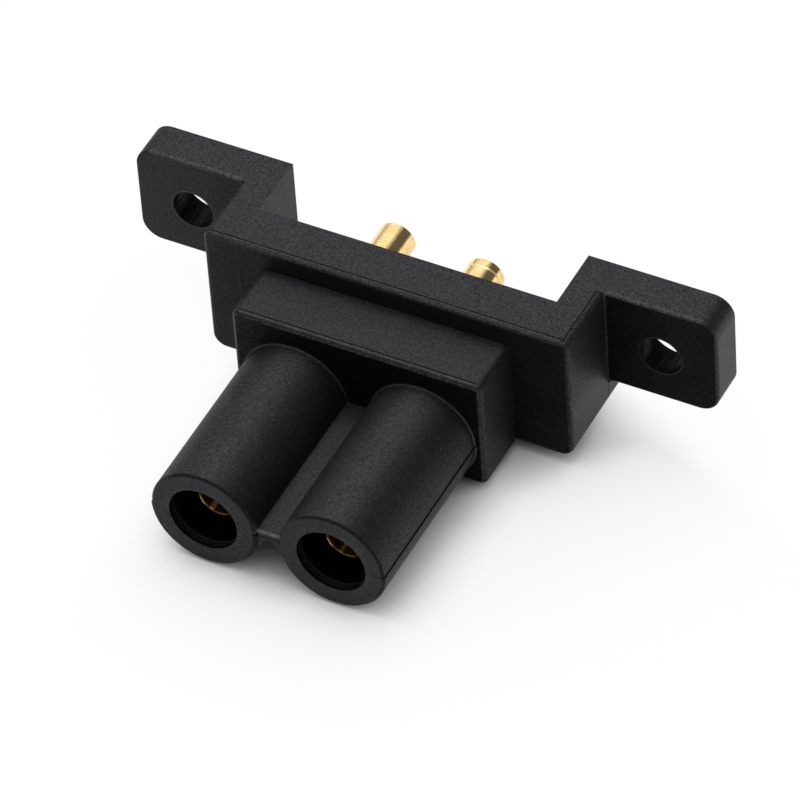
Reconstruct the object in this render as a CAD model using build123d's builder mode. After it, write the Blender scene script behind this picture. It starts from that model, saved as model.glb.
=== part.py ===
from build123d import *
import os

# A two-pole battery connector: a moulded housing with two socket tubes, and in each pole a socket,
# a link bar and a tail pin that the housing is moulded around.
# X runs from ear to ear, -Y points out of the tubes to the mating plug, and Z is up.
# The origin is midway between the two mounting holes, on the front faces of the ears.

# Mounting ears, in millimetres
hole_pitch = 52.0
hole_r = 2.25
head_recess_r = 3.35
head_recess_depth = 2.1
overall_width = 64.4
ear_thickness = 4.2
top_height = 6.3
ear_drop = 5.65
ear_corner_r = 2.2
ear_edge_r = 0.25
leg_root_r = 0.9

# Plate and the legs behind it
plate_width = 40.2
plate_thickness = 5.15
plate_set_forward = 8.1
body_drop = 9.2
recess_width = 32.8
plate_top_corner_r = 0.8
plate_bottom_corner_r = 1.5
plate_edge_r = 0.3

# Stepped block in front of the plate
block_width = 27.5
block_length = 6.6
block_top_drop = 2.5
block_drop = 9.7
block_corner_r = 0.8
block_edge_r = 0.6

# Tubes
tube_pitch = 14.0
tube_axis_drop = 4.4
tube_length = 19.7
tube_root_r = 5.75
tube_mouth_r = 5.72
parting_ledge_width = 0.1
tube_root_chamfer = 0.15
tube_lip_chamfer = 0.22
mouth_r = 3.75
mouth_land = 1.1
chamber_r = 4.1
chamber_floor = 1.2

# Web between the tubes, measured from the tube axes
web_top = 0.5
web_crown_drop = 0.35
web_arch_r = 0.7
web_foot_half_width = 2.1
web_foot_drop = 2.3
web_setback = 0.35

# Sockets
socket_r = 2.35
socket_bore_r = 2.02
socket_setback = 3.15
socket_bore_depth = 14.5
socket_lip_chamfer = 0.12
collar_r = 2.9
collar_length = 1.5
collar_behind_floor = 1.5
spigot_r = 1.4
spigot_gap = 0.02

# Link bars
link_thickness = 2.0
link_end_r = 3.0
link_wall = 3.55

# Tail pins
tail_pitch = 10.4
tail_r = 2.0
tail_reach = {"left": 4.8, "right": 3.8}
tail_chamfer = 0.25
tail_flange_r = 2.6
tail_flange_thickness = 1.0
tail_waist_r = 1.75

# Room that the moulding leaves around the metal pieces
insert_gap = 0.02

# Places that follow from the sizes above
plate_front = -plate_set_forward
plate_back = plate_front + plate_thickness
block_front = plate_front - block_length
mouth = block_front - tube_length
tube_z = -tube_axis_drop
web_crown = tube_z - web_crown_drop
block_top = top_height - block_top_drop
chamber_end = block_front + chamber_floor
socket_front = mouth + socket_setback
collar_front = chamber_end + collar_behind_floor
link_back = plate_back - link_wall
link_front = link_back - link_thickness
poles = {"left": -1, "right": 1}


def face_plane(y):
    """The upright plane at this y, with sketch x along X and sketch y along Z."""
    return Plane.XZ.offset(-y)


def rounded_outline(width, bottom, top, bottom_r, top_r):
    """Draw a rectangle centred on X = 0 with its own radii at its bottom and top corners."""
    with Locations((0, (bottom + top) / 2)):
        Rectangle(width, top - bottom)
    fillet(vertices().group_by(Axis.Y)[0], bottom_r)
    fillet(vertices().group_by(Axis.Y)[-1], top_r)


def turn(x, z, outline, mode=Mode.ADD, arc=360.0):
    """Revolve an outline of (radius, y) points about the line along Y through x and z."""
    with BuildSketch(Plane.XY.offset(z)) as half_section:
        with BuildLine():
            Polyline(*[(x + radius, y) for radius, y in outline], close=True)
        make_face()
    revolve(half_section.sketch, axis=Axis((x, 0, z), (0, 1, 0)), revolution_arc=arc, mode=mode)


def rod(x, z, radius, start, end, mode=Mode.ADD):
    """A round rod along Y through x and z, from y = start to y = end."""
    turn(x, z, [(0, start), (radius, start), (radius, end), (0, end)], mode)


def tube_outline(step):
    """Outside of a tube, with its chamfered root and lip, made step larger."""
    root_r = tube_root_r + step
    lip_r = tube_mouth_r + step
    return [
        (0, block_front + block_edge_r),
        (root_r + tube_root_chamfer, block_front + block_edge_r),
        (root_r + tube_root_chamfer, block_front),
        (root_r, block_front - tube_root_chamfer),
        (lip_r, mouth + tube_lip_chamfer),
        (lip_r - tube_lip_chamfer, mouth),
        (0, mouth),
    ]


def socket_outline(grow):
    """Outside of a socket with its collar, without the spigot, enlarged by grow."""
    return [
        (0, socket_front),
        (socket_r + grow, socket_front),
        (socket_r + grow, collar_front - grow),
        (collar_r + grow, collar_front - grow),
        (collar_r + grow, collar_front + collar_length + grow),
        (socket_r + grow, collar_front + collar_length + grow),
        (socket_r + grow, link_front),
        (0, link_front),
    ]


def tail_root_outline(grow):
    """The part of a tail pin inside the plate, a flange and a waist, enlarged by grow."""
    return [
        (0, link_back),
        (tail_flange_r + grow, link_back),
        (tail_flange_r + grow, link_back + tail_flange_thickness + grow),
        (tail_waist_r + grow, link_back + tail_flange_thickness + grow),
        (tail_waist_r + grow, plate_back),
        (0, plate_back),
    ]


def link_bar(side, grow):
    """Outline of a link bar, from the socket's axis to the tail pin's axis, enlarged by grow."""
    socket_end = Vector(side * tube_pitch / 2, tube_z)
    tail_end = Vector(side * tail_pitch / 2, 0)
    SlotCenterPoint((socket_end + tail_end) / 2, tail_end, 2 * (link_end_r + grow))


# Housing
with BuildPart() as housing:
    # Ears and the back of the legs, with rounded front edges and a rounded root under each ear
    with BuildSketch(face_plane(ear_thickness)):
        rounded_outline(overall_width, -ear_drop, top_height, ear_corner_r, ear_corner_r)
        with Locations((0, -body_drop / 2)):
            Rectangle(plate_width, body_drop)
        fillet(vertices().group_by(Axis.Y)[0], plate_bottom_corner_r)
        roots = vertices().filter_by_position(Axis.Y, -ear_drop, -ear_drop)
        fillet(roots.filter_by_position(Axis.X, -plate_width / 2, plate_width / 2), leg_root_r)
    extrude(amount=ear_thickness)
    fillet(faces().sort_by(Axis.Y)[0].edges(), ear_edge_r)

    # Plate with the rest of its legs, which stands in front of the ears
    with BuildSketch(face_plane(ear_thickness)):
        rounded_outline(
            plate_width, -body_drop, top_height, plate_bottom_corner_r, plate_top_corner_r
        )
    extrude(amount=ear_thickness - plate_front)
    fillet(faces().sort_by(Axis.Y)[0].edges(), plate_edge_r)

    # Recess between the legs
    with BuildSketch(face_plane(ear_thickness)):
        Rectangle(recess_width, 2 * (top_height + body_drop))
    extrude(amount=ear_thickness - plate_back, mode=Mode.SUBTRACT)

    # Stepped block
    with BuildSketch(face_plane(plate_front)):
        rounded_outline(block_width, -block_drop, block_top, block_corner_r, block_corner_r)
    extrude(amount=block_length)
    fillet(faces().sort_by(Axis.Y)[0].edges(), block_edge_r)

    # Tubes: the lower half of each stands out a little at the parting line
    for side in poles.values():
        turn(side * tube_pitch / 2, tube_z, tube_outline(0))
        turn(side * tube_pitch / 2, tube_z, tube_outline(parting_ledge_width), arc=180)

    # Web, a flat-topped arch between the tubes
    with BuildSketch(face_plane(block_front + block_edge_r)):
        with BuildLine():
            arch = ThreePointArc(
                (-web_arch_r, web_crown - web_arch_r),
                (0, web_crown),
                (web_arch_r, web_crown - web_arch_r),
            )
            Polyline(
                arch @ 1,
                (web_foot_half_width, tube_z - web_foot_drop),
                (web_foot_half_width, tube_z + web_top),
                (-web_foot_half_width, tube_z + web_top),
                (-web_foot_half_width, tube_z - web_foot_drop),
                arch @ 0,
            )
        make_face()
    extrude(amount=tube_length + block_edge_r - web_setback)

    # Mouths, chambers, and the room for the sockets and tail pins
    for name, side in poles.items():
        turn(
            side * tube_pitch / 2,
            tube_z,
            [
                (0, mouth),
                (mouth_r, mouth),
                (mouth_r, mouth + mouth_land),
                (chamber_r, mouth + mouth_land),
                (chamber_r, chamber_end),
                (0, chamber_end),
            ],
            mode=Mode.SUBTRACT,
        )
        turn(side * tube_pitch / 2, tube_z, socket_outline(insert_gap), mode=Mode.SUBTRACT)
        turn(side * tail_pitch / 2, 0, tail_root_outline(insert_gap), mode=Mode.SUBTRACT)
        with BuildSketch(face_plane(link_back + insert_gap)):
            link_bar(side, insert_gap)
        extrude(amount=link_thickness + 2 * insert_gap, mode=Mode.SUBTRACT)

    # Mounting holes, with a recess for the screw's head behind each
    with Locations(Plane.XZ.offset(-ear_thickness).rotated((180, 0, 0))):
        with GridLocations(hole_pitch, 0, 2, 1):
            CounterBoreHole(hole_r, head_recess_r, head_recess_depth)

housing.part.label = "housing"

# Metal pieces, one set for each pole
pieces = [housing.part]
for name, side in poles.items():
    socket_x = side * tube_pitch / 2
    tail_x = side * tail_pitch / 2

    with BuildPart() as socket:
        turn(socket_x, tube_z, socket_outline(0))
        rod(socket_x, tube_z, spigot_r, link_front, link_back)
        bore_end = socket_front + socket_bore_depth
        rod(socket_x, tube_z, socket_bore_r, socket_front, bore_end, mode=Mode.SUBTRACT)
        chamfer(socket.faces().sort_by(Axis.Y)[0].edges(), socket_lip_chamfer)
    socket.part.label = "socket_" + name

    with BuildPart() as tail_pin:
        turn(tail_x, 0, tail_root_outline(0))
        rod(tail_x, 0, tail_r, plate_back, tail_reach[name])
        rod(tail_x, 0, spigot_r, link_front, link_back)
        chamfer(tail_pin.faces().sort_by(Axis.Y)[-1].edges(), tail_chamfer)
    tail_pin.part.label = "tail_pin_" + name

    with BuildPart() as link:
        with BuildSketch(face_plane(link_back)):
            link_bar(side, 0)
            with Locations((socket_x, tube_z), (tail_x, 0)):
                Circle(spigot_r + spigot_gap, mode=Mode.SUBTRACT)
        extrude(amount=link_thickness)
    link.part.label = "link_" + name

    pieces += [socket.part, tail_pin.part, link.part]

os.makedirs("parts", exist_ok=True)
for piece in pieces:
    export_step(piece, f"parts/{piece.label}.step")
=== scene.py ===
"""A two-pole battery connector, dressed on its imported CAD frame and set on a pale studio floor.

Lengths in the classes are in millimetres, in the CAD's own axes: X from ear to ear, -Y out of the
tubes, Z up, with the origin midway between the mounting holes on the front faces of the ears.
"""

import logging
from dataclasses import dataclass, field
from enum import Enum
from functools import cached_property

import bpy
import numpy as np
from mathutils import Matrix, Vector


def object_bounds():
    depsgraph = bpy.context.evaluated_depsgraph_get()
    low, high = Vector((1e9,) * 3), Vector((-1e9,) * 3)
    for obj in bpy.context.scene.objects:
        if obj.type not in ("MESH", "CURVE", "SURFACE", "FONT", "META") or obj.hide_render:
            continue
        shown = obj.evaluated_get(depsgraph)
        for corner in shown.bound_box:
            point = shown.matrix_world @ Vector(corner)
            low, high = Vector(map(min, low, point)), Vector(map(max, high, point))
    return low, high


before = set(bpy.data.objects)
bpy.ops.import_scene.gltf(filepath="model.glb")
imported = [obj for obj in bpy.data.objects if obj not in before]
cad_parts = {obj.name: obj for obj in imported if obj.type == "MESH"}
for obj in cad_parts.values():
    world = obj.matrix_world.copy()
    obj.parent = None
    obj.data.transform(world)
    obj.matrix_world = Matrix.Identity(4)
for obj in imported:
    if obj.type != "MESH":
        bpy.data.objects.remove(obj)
cad_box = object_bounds()

MM = 0.001
log = logging.getLogger("connector")

Value = "float | Signal"
Colour = tuple[float, float, float]
Point = tuple[float, float, float]
Span = tuple[float, float]


class Signal:
    """A shader socket that stands in arithmetic: every operator on it adds one Math node."""

    def __init__(self, graph: "Graph", socket: bpy.types.NodeSocket) -> None:
        """Keep the socket together with the graph that it belongs to."""
        self.graph = graph
        self.socket = socket

    def other(self, name: str) -> "Signal":
        """Another output of the node that this signal comes from."""
        return Signal(self.graph, self.socket.node.outputs[name])

    def maths(self, operation: str, *values: Value) -> "Signal":
        """Add one Math node over these values."""
        return self.graph.node("Math", {"operation": operation}, dict(enumerate(values)))

    def __add__(self, value: Value) -> "Signal":
        """Sum."""
        return self.maths("ADD", self, value)

    def __radd__(self, value: Value) -> "Signal":
        """Sum, with the signal on the right."""
        return self.maths("ADD", value, self)

    def __sub__(self, value: Value) -> "Signal":
        """Difference."""
        return self.maths("SUBTRACT", self, value)

    def __rsub__(self, value: Value) -> "Signal":
        """Difference, with the signal on the right."""
        return self.maths("SUBTRACT", value, self)

    def __mul__(self, value: Value) -> "Signal":
        """Product."""
        return self.maths("MULTIPLY", self, value)

    def __rmul__(self, value: Value) -> "Signal":
        """Product, with the signal on the right."""
        return self.maths("MULTIPLY", value, self)

    def __pow__(self, value: Value) -> "Signal":
        """Power."""
        return self.maths("POWER", self, value)

    def __rpow__(self, value: Value) -> "Signal":
        """Power, with the signal as the exponent."""
        return self.maths("POWER", value, self)

    def __abs__(self) -> "Signal":
        """Size without its sign."""
        return self.maths("ABSOLUTE", self)

    def smaller(self, value: Value) -> "Signal":
        """The smaller of this and the value."""
        return self.maths("MINIMUM", self, value)

    def larger(self, value: Value) -> "Signal":
        """The larger of this and the value."""
        return self.maths("MAXIMUM", self, value)


class Graph:
    """The node tree of one material or of the world, emptied and then filled through node()."""

    def __init__(self, tree: bpy.types.NodeTree) -> None:
        """Empty the tree."""
        self.tree = tree
        tree.nodes.clear()

    def node(
        self,
        kind: str,
        settings: dict[str, object] | None = None,
        inputs: dict[str | int, object] | None = None,
        output: str | int = 0,
    ) -> Signal:
        """Add one node.

        Args:
            kind: the node's type, without its ShaderNode prefix.
            settings: its properties, set before its sockets.
            inputs: a value or a Signal for each socket, by name or number.
            output: the output to hand back, by name or number.

        Returns:
            The chosen output as a Signal, or the first input of a node that has no outputs.
        """
        made = self.tree.nodes.new("ShaderNode" + kind)
        for name, value in (settings or {}).items():
            setattr(made, name, value)
        for name, value in (inputs or {}).items():
            if isinstance(value, Signal):
                self.tree.links.new(value.socket, made.inputs[name])
            else:
                made.inputs[name].default_value = value
        return Signal(self, (made.outputs or made.inputs)[output])

    def step(self, value: Value, start: float, end: float) -> Signal:
        """Rise smoothly from 0 at start to 1 at end; start may be the larger of the two."""
        span = {"Value": value, "From Min": start, "From Max": end}
        return self.node("MapRange", {"interpolation_type": "SMOOTHSTEP"}, span)

    def line(self, distance: Signal, half_width: float) -> Signal:
        """1 where the distance is 0, fading to 0 at the half width on both sides."""
        return self.step(abs(distance), half_width, 0.35 * half_width)

    def near(self, value: Signal, place: float, reach: float = 0.05) -> Signal:
        """1 where the value is at the place, fading to 0 at this reach on both sides."""
        return self.step(abs(value - place), reach, 0.4 * reach)

    def blend(self, factor: Value, first: "Colour | Signal", second: "Colour | Signal") -> Signal:
        """Mix two colours.

        Args:
            factor: how much of the second there is, from 0 to 1.
            first: the colour at factor 0.
            second: the colour at factor 1.

        Returns:
            The mixed colour.
        """
        ends = [end if isinstance(end, Signal) else (*end, 1.0) for end in (first, second)]
        sockets = {0: factor, 6: ends[0], 7: ends[1]}
        return self.node("Mix", {"data_type": "RGBA"}, sockets, output=2)

    def noise(self, place: Signal, scale: float, detail: float = 2.0, rough: float = 0.5) -> Signal:
        """Soft noise about 0.5 with this many features per millimetre."""
        sockets = {"Vector": place, "Scale": scale, "Detail": detail, "Roughness": rough}
        return self.node("TexNoise", {"noise_dimensions": "3D"}, sockets)

    def millimetres(self) -> tuple[Signal, Signal, Signal, Signal]:
        """The point in Object coordinates.

        Returns:
            The point as a vector in millimetres, and its x, y and z.
        """
        point = self.node("TexCoord", output="Object")
        scaled = self.node("VectorMath", {"operation": "SCALE"}, {0: point, "Scale": 1 / MM})
        parts = self.node("SeparateXYZ", inputs={0: scaled})
        return scaled, parts, parts.other("Y"), parts.other("Z")

    def stretched(self, place: Signal, factors: Point) -> Signal:
        """A place with each axis multiplied by its own factor, for patterns drawn out one way."""
        return self.node("VectorMath", {"operation": "MULTIPLY"}, {0: place, 1: factors})

    def bump(self, height: Signal, depth: float) -> Signal:
        """Turn a height from 0 to 1 into a normal, for a relief of this depth in millimetres."""
        return self.node("Bump", inputs={"Height": height, "Distance": depth * MM})

    def seen_directly(self) -> Signal:
        """1 on rays that show the surface to the camera, in a reflection or through glass."""
        path = self.node("LightPath", output="Is Camera Ray")
        return (path + path.other("Is Glossy Ray") + path.other("Is Transmission Ray")).smaller(1.0)

    def show(self, surface: Signal, target: str = "OutputMaterial") -> None:
        """Join the finished surface to the material's or the world's output."""
        self.node(target, inputs={"Surface": surface})


def hypotenuse(first: Signal, second: Signal) -> Signal:
    """Length of the line whose two legs these are."""
    return (first * first + second * second) ** 0.5


def new_material(name: str) -> tuple[bpy.types.Material, Graph]:
    """Make an empty material.

    Args:
        name: what the finish is called.

    Returns:
        The material and its graph.
    """
    material = bpy.data.materials.new(name)
    material.use_nodes = True
    return material, Graph(material.node_tree)


@dataclass(frozen=True)
class Front:
    """One flat front of the housing: its plane and its outline."""

    y: float
    half_width: float
    bottom: float
    top: float


class HousingMap:
    """Distances over the housing, and masks that are 0 away from their own faces or lines. Each
    mask adds its nodes when it is first asked for."""

    def __init__(self, graph: Graph, housing: "Housing", band: float) -> None:
        """Measure the shaded point.

        Args:
            graph: the material's graph.
            housing: the sizes that place every mark.
            band: the width of the worn band along the front edges.
        """
        self.graph = graph
        self.housing = housing
        self.band = band
        self.place, self.x, self.y, self.z = graph.millimetres()
        self.across = abs(self.x)
        self.depth = self.y - housing.mouth
        self.over_axis = self.z - housing.tube_z
        self.tube_radius = hypotenuse(self.across - housing.tube_pitch / 2, self.over_axis)
        self.hole_radius = hypotenuse(self.across - housing.hole_pitch / 2, self.z)

    def inwards(self, front: Front) -> Signal:
        """Distance from the nearest side of a front's outline, positive inside it."""
        from_side = front.half_width - self.across
        return from_side.smaller(front.top - self.z).smaller(self.z - front.bottom)

    @cached_property
    def bore(self) -> Signal:
        """The walls inside the tubes.

        Returns:
            1 on the walls of mouths and chambers.
        """
        wall, floor = self.housing.chamber_r, self.housing.chamber_end
        within = self.graph.step(self.tube_radius, wall + 0.20, wall + 0.10)
        return within * self.graph.step(self.y, floor + 0.50, floor + 0.20)

    @cached_property
    def chamber(self) -> Signal:
        """The chambers, behind the lands of the mouths, which the colour fills with painted shade.
        """
        land = self.housing.mouth_land
        return self.bore * self.graph.step(self.depth, land - 0.10, land + 0.02)

    @cached_property
    def land_edge_highlight(self) -> Signal:
        """The back edges of the mouths' lands, which carry a painted highlight."""
        return self.graph.line(self.depth - (self.housing.mouth_land - 0.12), 0.10) * self.bore

    @cached_property
    def mouth_shade_ring(self) -> Signal:
        """A ring just inside each mouth that gets painted shade."""
        ring = self.graph.step(self.depth, 0.42, 0.30) * self.graph.step(self.depth, 0.03, 0.08)
        return ring * self.bore

    @cached_property
    def end_face(self) -> Signal:
        """The tubes' flat ends."""
        return self.graph.step(self.depth, 0.16, 0.06) * (1.0 - self.bore)

    @cached_property
    def upper_right_lip(self) -> Signal:
        """The tubes' chamfered lips, where they face up and to the right.

        Returns:
            1 on the upper right part of each lip.
        """
        tube_r = self.housing.tube_r
        lip = self.graph.step(self.depth, 0.30, 0.20)
        lip = lip * self.graph.step(self.tube_radius, tube_r - 0.35, tube_r - 0.25)
        tube_x = (self.graph.step(self.x, -0.001, 0.001) - 0.5) * self.housing.tube_pitch
        return lip * self.graph.step(self.x - tube_x + self.over_axis, 0.5, 2.5)

    @cached_property
    def tube_root_highlight(self) -> Signal:
        """The arcs where the tubes leave the block, which carry a painted highlight.

        Returns:
            1 along the arcs.
        """
        tube_r = self.housing.tube_r
        arc = self.graph.line(self.y - (self.housing.block_front - 0.08), 0.14)
        return arc * self.graph.step(self.tube_radius, tube_r + 0.45, tube_r + 0.25)

    @cached_property
    def parting(self) -> Signal:
        """The mould's parting line along the tubes, which crosses an end face only at the right of
        the right tube.

        Returns:
            1 along the line.
        """
        block_front, right_axis = self.housing.block_front, self.housing.tube_pitch / 2
        line = self.graph.line(self.over_axis, 0.07) * (1.0 - self.bore)
        line = line * self.graph.step(self.y, block_front - 0.02, block_front - 0.06)
        return line * (1.0 - self.end_face * self.graph.step(self.x, right_axis + 1.0, right_axis))

    @cached_property
    def web_end(self) -> Signal:
        """The front edge of the web's top."""
        end = self.graph.step(self.depth, 0.75, 0.55) * self.graph.step(self.across, 1.5, 1.2)
        return end * self.graph.step(self.over_axis, 0.25, 0.40)

    @cached_property
    def screw_hole(self) -> Signal:
        """The walls of the mounting holes and of the recesses for the screw heads.

        Returns:
            1 inside holes and recesses.
        """
        hole_r, recess_r = self.housing.hole_r, self.housing.head_recess_r
        floor = self.housing.head_recess_floor
        recess = self.graph.step(self.hole_radius, recess_r + 0.10, recess_r + 0.03)
        recess = recess * self.graph.step(self.y, floor - 0.10, floor - 0.02)
        return self.graph.step(self.hole_radius, hole_r + 0.10, hole_r + 0.03).larger(recess)

    @cached_property
    def hole_rim(self) -> Signal:
        """The mounting holes' front rims."""
        rim = self.graph.line(self.hole_radius - self.housing.hole_r - 0.08, 0.16)
        return rim * self.graph.step(self.y, 0.12, 0.04)

    @cached_property
    def front_face(self) -> Signal:
        """The flat fronts of plate, block and ears, inside their rounded edges.

        Returns:
            1 on the fronts.
        """
        found = None
        for front in self.housing.fronts():
            inside = self.graph.step(self.inwards(front), 0.10, 0.35)
            face = self.graph.near(self.y, front.y) * inside
            found = face if found is None else found.larger(face)
        return found

    @cached_property
    def matt_front(self) -> Signal:
        """The flat fronts again, fading out towards the left ear, where they shine more."""
        return self.front_face * self.graph.step(self.x, -34.0, -2.0)

    @cached_property
    def front_in_painted_shade(self) -> Signal:
        """The block's front, and the right ear's front beside the leg, which get painted shade.

        Returns:
            1 on these two fronts.
        """
        plate, leg = self.housing.plate_front, self.housing.plate_half_width
        block = self.graph.step(self.y, plate - 1.0, plate - 3.0)
        beside_leg = self.graph.step(self.x, leg + 6.9, leg + 0.9)
        beside_leg = beside_leg * self.graph.step(self.x, leg - 1.1, leg - 0.1)
        ear = self.graph.step(self.y, -1.0, -0.5) * beside_leg
        return self.front_face * block.larger(ear)

    @cached_property
    def smooth_painted_lit_side(self) -> Signal:
        """The sides that face right, smoother and lit with painted light: the right ear's end, the
        lower part of the right leg, and a little the inside of the left leg.

        Returns:
            1 where a side is at its smoothest and its painted light at its strongest.
        """
        ear_end = self.graph.near(self.x, self.housing.ear_half_width, 0.40)
        ear_end = ear_end * self.graph.step(self.y, 0.05, 0.25)
        leg = self.graph.near(self.x, self.housing.plate_half_width)
        leg = leg * self.graph.step(self.z, -0.5, -6.0)
        inside_leg = self.graph.near(self.x, -self.housing.recess_half_width) * 0.4
        return ear_end.larger(leg).larger(inside_leg)

    @cached_property
    def edges(self) -> Signal:
        """Bands along the front edges of plate, block and ears, and the inner corners between legs
        and ears, paler from wear and from painted highlight. A band lies on the front face, by its
        distance inwards from the outline, and on the sides, by their distance back from the front.
        The ears' thin bright band and the inner corners carry painted highlight only.

        Returns:
            About 1 in the bands, and up to 2.2 in the inner corners.
        """
        step, band, leg = self.graph.step, self.band, self.housing.plate_half_width
        corner = self.graph.line(self.across - leg, 0.20)
        # painted highlight line in the inner corners between legs and ears
        found = corner * self.graph.line(self.y - self.housing.ear_front, 0.20) * 2.2
        for front in self.housing.fronts():
            inwards = self.inwards(front)
            back = self.y - front.y
            face = step(inwards, band + 0.04, band - 0.06) * step(back, 0.14, 0.06)
            side = step(back, band, band - 0.08) * step(inwards, 0.12, 0.04)
            edge = (face + side * 0.9).smaller(1.0) * step(back, -0.06, -0.02)
            if front.y == self.housing.ear_front:
                # the ears' thin band is a painted highlight line
                edge = edge * step(inwards, 0.30, 0.20) * step(self.across, leg, leg + 0.1) * 1.6
            found = found.larger(edge)
        return found

    @cached_property
    def left_rim_highlights(self) -> Signal:
        """The upright front edges at the left of plate and block, which carry a painted highlight.

        Returns:
            1 along the edges.
        """
        step, found = self.graph.step, None
        for front in self.housing.fronts()[:2]:
            from_left = self.x + front.half_width
            rim = step(self.z, front.bottom + 0.4, front.bottom + 1.0)
            rim = rim * step(self.z, front.top, front.top - 0.3)
            rim = rim * step(from_left, 0.34, 0.14) * step(from_left, -0.3, -0.1)
            rim = rim * step(abs(self.y - front.y), 0.40, 0.18)
            found = rim if found is None else found.larger(rim)
        return found

    @cached_property
    def witness(self) -> Signal:
        """Thin lines where the mould's inserts met: on the top faces just behind the front edges of
        plate and block, and along the plate's outer edge at the right.

        Returns:
            1 on the lines.
        """
        step, line = self.graph.step, self.graph.line
        found = line(self.x - self.housing.plate_half_width + 0.78, 0.10)
        found = found * step(self.z, self.housing.top_z - 0.06, self.housing.top_z - 0.01)
        found = found * step(self.y, 0.1, -0.1)
        for front in self.housing.fronts()[:2]:
            pair = line(self.y - (front.y + self.band + 0.08), 0.11)
            pair = pair.larger(line(self.y - (front.y + 0.20), 0.08) * 0.7)
            pair = pair * step(self.z, front.top - 0.06, front.top - 0.01)
            pair = pair * step(self.across, front.half_width, front.half_width - 0.1)
            found = found.larger(pair)
        return found


@dataclass(frozen=True)
class Grain:
    """The noises of the plastic: its grain, a coarser grain under it, wide patches, and streaks
    drawn along the holes."""

    fine: Signal
    coarse: Signal
    patches: Signal
    streaks: Signal


@dataclass(frozen=True)
class SparkErodedPlastic:
    """Black moulded plastic with the fine grain of a spark-eroded mould."""

    name: str = "black_moulded_plastic"
    base: Colour = (0.0045, 0.0045, 0.0050)
    # glint: paler specks painted into the colour as a painted sparkle of the grain's glossy peaks
    glint: Colour = (0.0500, 0.0505, 0.0540)
    # worn: paler colour for real rubbing, and for painted highlights along edges, rims, tube roots,
    # lands and right-facing sides
    worn: Colour = (0.1150, 0.1150, 0.1190)
    # hidden: near black for the mould's real dark lines, and as painted shade in chambers, mouth
    # rings, screw holes and shaded fronts
    joint_and_shade_black: Colour = (0.0006, 0.0006, 0.0006)
    sheen: Colour = (0.94, 0.95, 1.0)
    roughness: float = 0.52
    specular: float = 0.36
    pit_roughness: float = 0.85
    pit_specular: float = 0.08
    pit_share: float = 0.27
    grain_per_mm: float = 7.4
    grain_depth: float = 0.030
    grain_contrast: float = 2.8
    coarse_ratio: float = 2.6
    patches_per_mm: float = 0.30
    patch_contrast: float = 0.38
    band: float = 0.50

    def make(self, housing: "Housing") -> bpy.types.Material:
        """Build the material around the housing's own edges, mouths and holes. The grain is a
        shiny skin with dull pits in it, so a Mix Shader joins the two.

        Args:
            housing: the sizes that place each mark.

        Returns:
            The material, patterned on Object coordinates.
        """
        material, graph = new_material(self.name)
        marks = HousingMap(graph, housing, self.band)
        grain = Grain(
            graph.noise(marks.place, self.grain_per_mm, 1.0),
            graph.noise(marks.place, self.grain_per_mm / self.coarse_ratio, 1.0),
            graph.noise(marks.place, self.patches_per_mm, 3.0, 0.55),
            graph.noise(graph.stretched(marks.place, (2.4, 0.10, 2.4)), 1.0),
        )
        wear_and_highlight = self._wear_and_highlight(graph, marks, grain)
        colour = self._colour(graph, marks, grain, wear_and_highlight)
        normal = graph.bump(self._relief(marks, grain), self.grain_depth)
        roughness = (
            self.roughness
            + (grain.patches - 0.5) * 0.12
            + marks.edges * 0.10
            - marks.end_face * 0.04
            - marks.screw_hole * 0.32
            - marks.bore * 0.10
        )
        skin = self._coat(graph, self.specular, colour, roughness, normal)
        dull = self._coat(graph, self.pit_specular, colour, self.pit_roughness, normal)
        pits = self._pits(marks, grain, wear_and_highlight)
        graph.show(graph.node("MixShader", inputs={0: pits, 1: skin, 2: dull}))
        return material

    def _wear_and_highlight(self, graph: Graph, marks: HousingMap, grain: Grain) -> Signal:
        """How much each place is rubbed pale or lit by a painted highlight.

        Args:
            graph: the material's graph.
            marks: the masks over the housing.
            grain: the plastic's noises.

        Returns:
            0 on fresh plastic, and more along edges, rims and the smoother sides, partly real
            rubbing and partly painted highlight.
        """
        patchy = graph.step(grain.fine * 0.6 + grain.coarse * 0.4, 0.42, 0.64)
        # paler bands along the front edges, partly wear and partly painted highlight
        wear_and_highlight = marks.edges * (0.07 + patchy * 0.20)
        # painted highlight arcs at the tube roots
        wear_and_highlight = wear_and_highlight.larger(marks.tube_root_highlight * 0.14)
        # painted highlight on the lands' back edges; the hole rims are simply paler
        wear_and_highlight = wear_and_highlight.larger(marks.land_edge_highlight * 0.22).larger(marks.hole_rim * 0.22)
        # painted highlight, mottled, on the upright rims at the left
        wear_and_highlight = wear_and_highlight.larger(marks.left_rim_highlights * (0.45 + grain.coarse * 0.7))
        wear_and_highlight = wear_and_highlight.larger(marks.web_end * grain.coarse)
        # painted light on the sides that face right, mottled by the coarse grain
        return wear_and_highlight.larger(marks.smooth_painted_lit_side * (grain.coarse * 0.20))

    def _colour(self, graph: Graph, marks: HousingMap, grain: Grain, wear_and_highlight: Signal) -> Signal:
        """The base colour: black with painted sparkle, paler where worn and under painted
        highlights, darkest in the mould's lines, and with painted shade in holes, chambers, mouth
        rings and fronts.

        Args:
            graph: the material's graph.
            marks: the masks over the housing.
            grain: the plastic's noises.
            wear_and_highlight: how much each place is rubbed or lit by a painted highlight.

        Returns:
            The colour.
        """
        # painted sparkle: paler specks in the base colour, fewer on the tubes' ends and the flat
        # fronts
        glint = graph.step(grain.fine * 0.75 + grain.coarse * 0.25, 0.58, 0.74)
        glint = glint * (1.0 - marks.end_face * 0.6) * (1.0 - marks.front_face * 0.8)
        colour = graph.blend(glint * 0.50, self.base, self.glint)
        # paler where rubbed, and painted highlights on edges, rims, tube roots, lands and
        # right-facing sides
        colour = graph.blend(wear_and_highlight, colour, self.worn)
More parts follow.
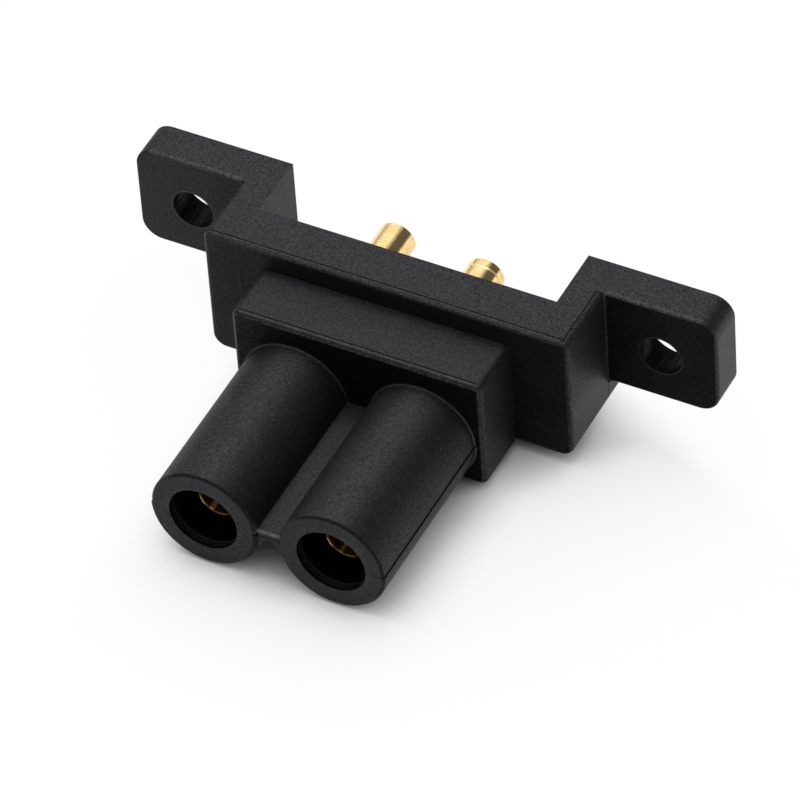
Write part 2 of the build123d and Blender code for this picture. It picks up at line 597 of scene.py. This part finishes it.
        # witness and parting lines are real dark lines; the chambers and the ring inside each mouth
        # get painted shade
        dark = marks.witness.larger(marks.parting).larger(marks.chamber).larger(marks.mouth_shade_ring)
        # painted shade on the walls of the screw holes and head recesses
        dark = dark.larger(marks.screw_hole * 0.8)
        # painted shade on the block's front and on the right ear's front beside the leg
        dark = dark.larger(marks.front_in_painted_shade * (1.0 - marks.edges) * 0.85)
        return graph.blend(dark, colour, self.joint_and_shade_black)

    def _pits(self, marks: HousingMap, grain: Grain, wear_and_highlight: Signal) -> Signal:
        """The share of dull pits: most of the surface in the lines and chambers and on the fronts,
        and fewest on rubbed edges and the smoother sides.

        Args:
            marks: the masks over the housing.
            grain: the plastic's noises.
            wear_and_highlight: how much each place is rubbed or lit by a painted highlight.

        Returns:
            The share, from 0 to 1.
        """
        calm = marks.end_face * 1.3 + marks.matt_front * 1.3
        contrast = (1.0 - marks.screw_hole * 0.9) * (self.grain_contrast - calm)
        pits = (0.5 - grain.fine * 0.72 - grain.coarse * 0.28) * contrast + self.pit_share
        pits = pits + (0.5 - grain.patches) * self.patch_contrast
        pits = pits - wear_and_highlight * 0.80 + marks.upper_right_lip * 0.35
        pits = pits + marks.screw_hole * (1.02 - grain.streaks * 0.74)
        pits = pits + marks.matt_front * 0.64 - marks.smooth_painted_lit_side * 0.55
        pits = pits.larger(marks.parting).larger(marks.witness * 0.9)
        pits = pits.larger(marks.mouth_shade_ring * 0.95).larger(marks.chamber * 0.985)
        return pits.larger(0.0).smaller(1.0)

    def _relief(self, marks: HousingMap, grain: Grain) -> Signal:
        """The height of the grain, calmer in holes, bores and on the tubes' ends, with the thin
        lines cut into it.

        Args:
            marks: the masks over the housing.
            grain: the plastic's noises.

        Returns:
            The height, where 1 is the grain's depth.
        """
        relief = grain.fine * 0.7 + grain.coarse * 0.5
        relief = relief * (1.0 - marks.screw_hole * 0.9) * (1.0 - marks.bore * 0.8)
        return relief * (1.0 - marks.end_face * 0.5) - marks.witness * 1.5 - marks.parting * 1.2

    def _coat(
        self, graph: Graph, specular: float, colour: Signal, roughness: Value, normal: Signal
    ) -> Signal:
        """One of the two plastics that the grain is made of.

        Args:
            graph: the material's graph.
            specular: how strongly it shines.
            colour: the base colour.
            roughness: the surface's roughness.
            normal: the relief as a normal.

        Returns:
            The shader.
        """
        sockets = {
            "Base Color": colour,
            "Roughness": roughness,
            "Specular IOR Level": specular,
            "Specular Tint": (*self.sheen, 1.0),
            "Normal": normal,
        }
        return graph.node("BsdfPrincipled", inputs=sockets)


@dataclass(frozen=True)
class GoldPlate:
    """Gold plating over turned brass, with painted shade and a painted reflection streak in the
    bore where bore_r is given, and a turned ring where ring_y is."""

    name: str
    axis_x: float
    axis_z: float
    base: Colour = (1.0, 0.75, 0.37)
    worn: Colour = (0.86, 0.58, 0.23)
    # bore: dark brown, painted shade inside the socket's bore
    bore: Colour = (0.12, 0.045, 0.006)
    # streak: the colour of a painted reflection along the bore's wall
    reflection_streak: Colour = (1.0, 0.62, 0.16)
    roughness: float = 0.14
    marks_per_mm: float = 7.0
    dimples_per_mm: float = 3.2
    clouds_per_mm: float = 1.3
    relief_depth: float = 0.0045
    ring_half_width: float = 0.20
    streak_left: float = 0.82
    streak_half_width: float = 0.40
    bore_r: float = 0.0
    ring_y: float | None = None

    def make(self) -> bpy.types.Material:
        """Build the metal around its own axis: the turning marks follow y on the wall and the
        radius on the end faces, so both take their place from y plus the radius.

        Returns:
            The material, patterned on Object coordinates.
        """
        material, graph = new_material(self.name)
        place, x, y, z = graph.millimetres()
        radius = hypotenuse(x - self.axis_x, z - self.axis_z)
        marks = graph.node(
            "TexNoise",
            {"noise_dimensions": "1D"},
            {"W": y + radius, "Scale": self.marks_per_mm, "Detail": 3.0, "Roughness": 0.6},
        )
        clouds = graph.noise(place, self.clouds_per_mm, 3.0, 0.6)
        dimples = graph.noise(place, self.dimples_per_mm, 2.0, 0.6)
        tarnish = graph.step(clouds * 0.5 + dimples * 0.5, 0.40, 0.62)
        colour = graph.blend(tarnish, self.base, self.worn)
        height = marks + dimples * 1.6
        roughness = self.roughness + (clouds - 0.5) * 0.10 + (marks - 0.5) * 0.06
        metallic: Value = 1.0
        if self.ring_y is not None:
            ring = graph.line(y - self.ring_y, self.ring_half_width)
            height = height + ring * 3.0
            roughness = roughness + ring * 0.35
        if self.bore_r:
            inside = graph.step(radius, self.bore_r + 0.12, self.bore_r + 0.05)
            drag = graph.noise(graph.stretched(place, (2.6, 0.08, 2.6)), 1.0)
            # a painted reflection streak at a fixed place left of the axis, broken by the drag
            # marks
            reflection_streak = graph.line(x - self.axis_x + self.streak_left, self.streak_half_width)
            wall = graph.blend(reflection_streak * graph.step(drag, 0.35, 0.55), self.bore, self.reflection_streak)
            # the bore's wall gets painted shade, with the painted reflection streak on it
            colour = graph.blend(inside, colour, wall)
            roughness = roughness + inside * (0.10 + drag * 0.25)
            metallic = 1.0 - inside * 0.35
        sockets = {
            "Base Color": colour,
            "Metallic": metallic,
            "Roughness": roughness,
            "Normal": graph.bump(height, self.relief_depth),
        }
        graph.show(graph.node("BsdfPrincipled", inputs=sockets))
        return material


@dataclass(frozen=True)
class FloorPaper:
    """Plain pale studio paper, white to the eye and darker to the light that bounces off it. It
    has painted shadow close under the connector, and a painted glow that lifts it where it is
    open within its reach, most of all behind and at the left."""

    name: str = "studio_paper"
    colour: Colour = (0.92, 0.92, 0.92)
    fibres: Colour = (0.95, 0.95, 0.95)
    bounced: Colour = (0.25, 0.25, 0.25)
    # contact: painted shadow under the connector, placed by ambient occlusion
    painted_contact_shadow: Colour = (0.10, 0.10, 0.10)
    # glow: white emission painted onto the paper as light
    glow: Colour = (1.0, 1.0, 1.0)
    fibres_per_mm: float = 0.8
    reach: float = 7.0
    contact_span: Span = (0.02, 0.38)
    lift_span: Span = (0.45, 0.98)
    glow_behind: Span = (4.0, 16.0)
    glow_left: Span = (-9.0, -19.0)
    lift: float = 0.62
    glow_side_lift: float = 0.94

    def make(self) -> bpy.types.Material:
        """Build the paper from a matte sheet with painted contact shadow and a painted glow, which
        a Mix
        Shader joins by how open the paper is within its reach, and by the glowing side.

        Returns:
            The material.
        """
        material, graph = new_material(self.name)
        place, x, y, _ = graph.millimetres()
        # the side behind and at the left where the paper gets painted light and no painted shadow
        glow_side = graph.step(y + abs(x) * 0.5, *self.glow_behind)
        glow_side = glow_side.larger(graph.step(x, *self.glow_left))
        around = {"Distance": self.reach * MM}
        openness = graph.node("AmbientOcclusion", {"samples": 8}, around, output="AO")
        paper = graph.blend(graph.noise(place, self.fibres_per_mm, 3.0), self.colour, self.fibres)
        # the painted contact shadow fills the paper where it is closed in, but not on the glowing
        # side
        clear = graph.step(openness, *self.contact_span).larger(glow_side)
        direct = graph.seen_directly()
        tone = graph.blend(direct, self.bounced, graph.blend(clear, self.painted_contact_shadow, paper))
        matte = {"Base Color": tone, "Roughness": 1.0, "Specular IOR Level": 0.0}
        sheet = graph.node("BsdfPrincipled", inputs=matte)
        glow = graph.node("Emission", inputs={"Color": (*self.glow, 1.0), "Strength": 1.0})
        # painted glow: an emission that lifts the paper where it is open, and most behind and at
        # the left
        painted_glow_share = graph.step(openness, *self.lift_span) * self.lift
        painted_glow_share = painted_glow_share.larger(glow_side * self.glow_side_lift) * direct
        graph.show(graph.node("MixShader", inputs={0: painted_glow_share, 1: sheet, 2: glow}))
        return material


@dataclass
class Housing:
    """The moulded housing: ears, plate, stepped block, tubes and web."""

    node: str = "housing"
    hole_pitch: float = 52.0
    hole_r: float = 2.25
    head_recess_r: float = 3.35
    head_recess_floor: float = 2.1
    top_z: float = 6.3
    ear_front: float = 0.0
    ear_half_width: float = 32.2
    ear_bottom: float = -5.65
    plate_front: float = -8.1
    plate_half_width: float = 20.1
    plate_bottom: float = -9.2
    recess_half_width: float = 16.4
    block_front: float = -14.7
    block_half_width: float = 13.75
    block_top: float = 3.8
    block_bottom: float = -9.7
    mouth: float = -34.4
    mouth_land: float = 1.1
    chamber_r: float = 4.1
    chamber_end: float = -13.5
    tube_pitch: float = 14.0
    tube_z: float = -4.4
    tube_r: float = 5.75
    finish: SparkErodedPlastic = field(default_factory=SparkErodedPlastic)

    def fronts(self) -> tuple[Front, Front, Front]:
        """The fronts of the plate, the block and the ears.

        Returns:
            One Front for each, in this order.
        """
        return (
            Front(self.plate_front, self.plate_half_width, self.plate_bottom, self.top_z),
            Front(self.block_front, self.block_half_width, self.block_bottom, self.block_top),
            Front(self.ear_front, self.ear_half_width, self.ear_bottom, self.top_z),
        )

    def dress(self) -> None:
        """Give the CAD node its plastic."""
        paint(self.node, self.finish.make(self))


class Side(Enum):
    """The two poles, with the side of the middle plane that each is on."""

    LEFT = -1
    RIGHT = 1


@dataclass
class Pole:
    """The metal of one pole: a socket in the tube, a link bar and a tail pin."""

    side: Side
    tube_pitch: float = 14.0
    tube_z: float = -4.4
    tail_pitch: float = 10.4
    tail_z: float = 0.0
    socket_bore_r: float = 2.02
    # darker gold on the sockets, as painted shade inside the tubes
    socket_shaded_base: Colour = (0.68, 0.45, 0.18)
    socket_shaded_worn: Colour = (0.56, 0.34, 0.12)
    ring_y: float | None = None

    def dress(self) -> None:
        """Plate the socket, the tail pin and the link bar."""
        name = self.side.name.lower()
        socket = GoldPlate(
            "gold_socket_" + name,
            self.side.value * self.tube_pitch / 2,
            self.tube_z,
            base=self.socket_shaded_base,
            worn=self.socket_shaded_worn,
            bore_r=self.socket_bore_r,
        )
        tail_x = self.side.value * self.tail_pitch / 2
        tail = GoldPlate("gold_tail_" + name, tail_x, self.tail_z, ring_y=self.ring_y).make()
        paint("socket_" + name, socket.make())
        paint("tail_pin_" + name, tail)
        paint("link_" + name, tail)


def paint(node: str, material: bpy.types.Material) -> None:
    """Put one material in every slot of a CAD node.

    Args:
        node: the CAD node's name.
        material: its new finish.
    """
    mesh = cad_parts[node].data
    for index in range(len(mesh.materials)):
        mesh.materials[index] = material
    if not mesh.materials:
        mesh.materials.append(material)
    log.info("dressed %s with %s", node, material.name)


@dataclass(frozen=True)
class Lamp:
    """A rectangular soft lamp that looks at the connector, with its size in metres."""

    name: str
    towards: Point
    distance: float
    width: float
    height: float
    radiance: float

    def hang(self, target: Vector) -> None:
        """Put the lamp in the scene.

        Args:
            target: the point that it looks at, in metres.
        """
        data = bpy.data.lights.new(self.name, "AREA")
        data.shape = "RECTANGLE"
        data.size, data.size_y = self.width, self.height
        data.energy = self.radiance * np.pi * self.width * self.height
        lamp = bpy.data.objects.new(self.name, data)
        back = Vector(self.towards).normalized()
        across = Vector((back.z, 0.0, -back.x)).normalized()
        turned = Matrix((across, back.cross(across), back)).transposed().to_4x4()
        lamp.matrix_world = Matrix.Translation(target + back * self.distance) @ turned
        bpy.context.scene.collection.objects.link(lamp)
        log.info("hung %s", self.name)


@dataclass(frozen=True)
class Panel:
    """A broad pale panel that shows only in reflections: its direction, the cosines of the angles
    from it at which it starts and is full, and its radiance."""

    towards: Point
    start: float
    full: float
    radiance: float


@dataclass(frozen=True)
class Room:
    """The studio around the paper: dark walls, a pale horizon and two panels where the room is seen
    or reflected, and soft daylight as a source of light."""

    wall_right: Colour = (0.11, 0.11, 0.114)
    wall_left: Colour = (0.26, 0.26, 0.26)
    horizon_right: Colour = (1.3, 1.3, 1.3)
    horizon_left: Colour = (0.33, 0.33, 0.33)
    daylight_front: Colour = (0.72, 0.72, 0.72)
    daylight_behind: Colour = (1.05, 1.05, 1.06)
    panel_blue: float = 1.03
    panels: tuple[Panel, ...] = (
        Panel((-0.48, 0.62, 0.62), 0.76, 0.93, 0.85),
        Panel((-0.12, 0.02, 0.99), 0.83, 0.93, 4.3),
    )

    def surround(self) -> None:
        """Fill the world, from the direction in which it is looked at."""
        world = bpy.data.worlds.new("studio_room")
        world.use_nodes = True
        bpy.context.scene.world = world
        graph = Graph(world.node_tree)
        direction = graph.node("TexCoord", output="Generated")
        rightwards = graph.node("SeparateXYZ", inputs={0: direction})
        backwards, upwards = rightwards.other("Y"), rightwards.other("Z")
        wall = graph.blend(graph.step(rightwards, 0.05, -0.45), self.wall_right, self.wall_left)
        side = graph.step(rightwards, -0.1, 0.4)
        horizon = graph.blend(side, self.horizon_left, self.horizon_right)
        wall = graph.blend(graph.step(upwards, 0.26, 0.04), wall, horizon)
        for panel in self.panels:
            pair = {0: direction, 1: panel.towards}
            near = graph.node("VectorMath", {"operation": "DOT_PRODUCT"}, pair, output="Value")
            lit = (panel.radiance, panel.radiance, panel.radiance * self.panel_blue)
            wall = graph.blend(graph.step(near, panel.start, panel.full), wall, lit)
        behind = graph.step(backwards, -0.25, 0.30)
        daylight = graph.blend(behind, self.daylight_front, self.daylight_behind)
        light = graph.blend(graph.seen_directly(), daylight, wall)
        background = graph.node("Background", inputs={"Color": light, "Strength": 1.0})
        graph.show(background, "OutputWorld")
        log.info("filled the room")


@dataclass(frozen=True)
class Camera:
    """The photograph's view, from its angles in degrees, its distance and its lens."""

    azimuth: float = 29.8846
    elevation: float = 44.7356
    roll: float = 4.2917
    distance: float = 731.30
    lens: float = 333.865
    sensor: float = 36.0

    def place(self, aim: Point) -> None:
        """Make the scene's camera. Forward comes from azimuth and elevation, and the picture's
        right and down axes are then turned about it by the roll.

        Args:
            aim: the point in the middle of the picture.
        """
        around, up, turn = np.radians([self.azimuth, self.elevation, self.roll])
        forward = np.array(
            [-np.sin(around) * np.cos(up), np.cos(around) * np.cos(up), -np.sin(up)]
        )
        level = np.array([np.cos(around), np.sin(around), 0.0])
        right = np.cos(turn) * level + np.sin(turn) * np.cross(forward, level)
        down = np.cross(forward, right)
        placed = np.eye(4)
        placed[:3, :3] = np.column_stack([right, -down, -forward])
        placed[:3, 3] = (np.array(aim) - self.distance * forward) * MM
        data = bpy.data.cameras.new("camera")
        data.lens, data.sensor_width = self.lens, self.sensor
        data.clip_start, data.clip_end = 0.01, 20.0
        camera = bpy.data.objects.new("camera", data)
        camera.matrix_world = Matrix(placed.tolist())
        bpy.context.scene.collection.objects.link(camera)
        bpy.context.scene.camera = camera


@dataclass
class Studio:
    """Camera, lamps, room and the paper under the connector."""

    aim: Point = (3.120, -11.934, -4.4)
    floor_radius: float = 3.0
    floor_rings: int = 24
    floor_spokes: int = 96
    camera: Camera = field(default_factory=Camera)
    paper: FloorPaper = field(default_factory=FloorPaper)
    room: Room = field(default_factory=Room)
    lamps: tuple[Lamp, ...] = (
        Lamp("overhead_softbox", (-0.22, 0.08, 0.97), 1.00, 0.80, 0.80, 1.2),
        Lamp("back_softbox", (-0.257, 0.616, 0.745), 0.80, 0.85, 0.45, 0.3),
    )

    def lay_floor(self, height: float) -> None:
        """Lay the paper: a flat disc whose rings widen outwards, x = r cos t and y = r sin t, where
        r grows with the square of the ring's number.

        Args:
            height: the floor's z in metres.
        """
        rings, spokes = self.floor_rings, self.floor_spokes
        radius = self.floor_radius * np.linspace(0.0, 1.0, rings + 1)[1:, None] ** 2
        angle = np.linspace(0.0, 2 * np.pi, spokes, endpoint=False)
        level = np.full((rings, spokes), height)
        grid = np.stack([radius * np.cos(angle), radius * np.sin(angle), level], axis=-1)
        points = np.vstack([[0.0, 0.0, height], grid.reshape(-1, 3)])
        ring, spoke = np.meshgrid(np.arange(rings - 1), np.arange(spokes), indexing="ij")
        after = (spoke + 1) % spokes
        inner, outer = 1 + ring * spokes, 1 + (ring + 1) * spokes
        quads = np.stack([inner + spoke, outer + spoke, outer + after, inner + after], axis=-1)
        first = np.arange(spokes)
        centre = np.stack([np.zeros(spokes, int), 1 + first, 1 + (first + 1) % spokes], axis=-1)
        mesh = bpy.data.meshes.new("studio_floor")
        mesh.from_pydata(points.tolist(), [], quads.reshape(-1, 4).tolist() + centre.tolist())
        mesh.materials.append(self.paper.make())
        floor = bpy.data.objects.new("studio_floor", mesh)
        bpy.context.scene.collection.objects.link(floor)
        log.info("laid the floor at %.2f mm", height / MM)

    def build(self, floor_z: float) -> None:
        """Set up the whole studio.

        Args:
            floor_z: the height of the floor in metres.
        """
        bpy.context.scene.view_settings.view_transform = "Standard"
        self.camera.place(self.aim)
        self.lay_floor(floor_z)
        self.room.surround()
        for lamp in self.lamps:
            lamp.hang(Vector(self.aim) * MM)


def main() -> None:
    """Build the studio, dress the housing and both poles."""
    logging.basicConfig(level=logging.INFO, format="%(message)s")
    Studio().build(cad_box[0].z)
    Housing().dress()
    for side in Side:
        Pole(side, ring_y=2.6 if side is Side.RIGHT else None).dress()


if __name__ == "__main__":
    main()
